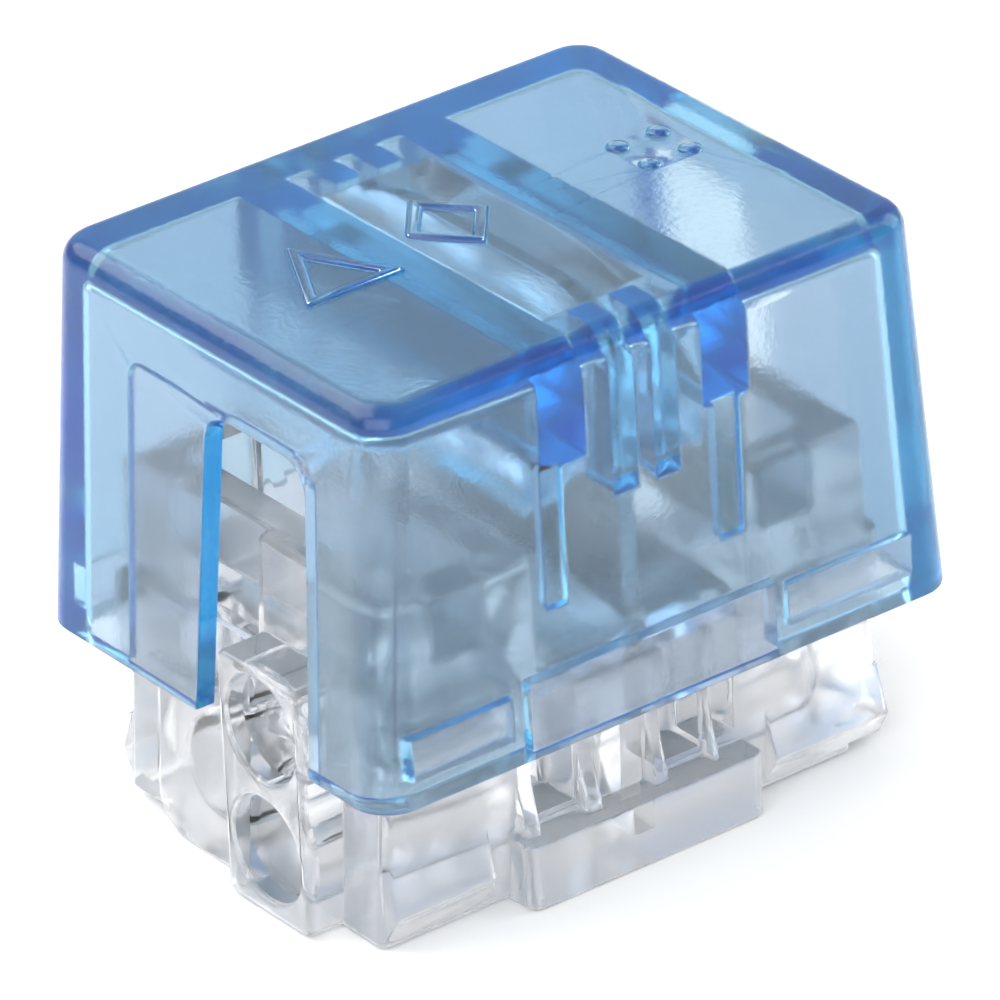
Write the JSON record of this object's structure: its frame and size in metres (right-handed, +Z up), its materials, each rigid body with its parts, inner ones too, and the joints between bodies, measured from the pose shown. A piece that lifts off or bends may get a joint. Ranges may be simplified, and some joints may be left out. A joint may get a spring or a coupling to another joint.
{
  "type": "press-on gel-filled wire splice connector",
  "caption": "Press-on insulation-displacement wire splice: a translucent blue cap stands open over a clear base with round wire ports at staggered ends.",
  "frame": {"origin": "middle of the base's underside, on the surface that the connector stands on", "axes": "+Z up along the press direction, towards the cap; +X along the long side; the front nozzle is at -X, -Y"},
  "size_m": [0.017, 0.0132, 0.0144],
  "materials": {
    "blue_plastic": "translucent blue moulded polycarbonate, fine spark-eroded grain on the outside, glossy inside",
    "clear_plastic": "clear moulded polycarbonate, lightly grained",
    "tinned_metal": "tin-plated stamped sheet, satin",
    "sealing_gel": "clear soft sealing gel, wet looking"
  },
  "bodies": {
    "base": {"base": "clear_plastic", "well_gel": "sealing_gel", "front_lower_gel": "sealing_gel", "front_upper_gel": "sealing_gel", "back_lower_gel": "sealing_gel", "back_upper_gel": "sealing_gel"},
    "press_cap": {"cap": "blue_plastic", "idc_contact": "tinned_metal", "cap_gel": "sealing_gel"}
  },
  "joints": [
    {"name": "press", "type": "slide", "parent": "base", "child": "press_cap", "axis": [0, 0, -1], "range_m": [0, 0.0044], "deforming": ["well_gel", "front_lower_gel", "front_upper_gel", "back_lower_gel", "back_upper_gel"]}
  ]
}
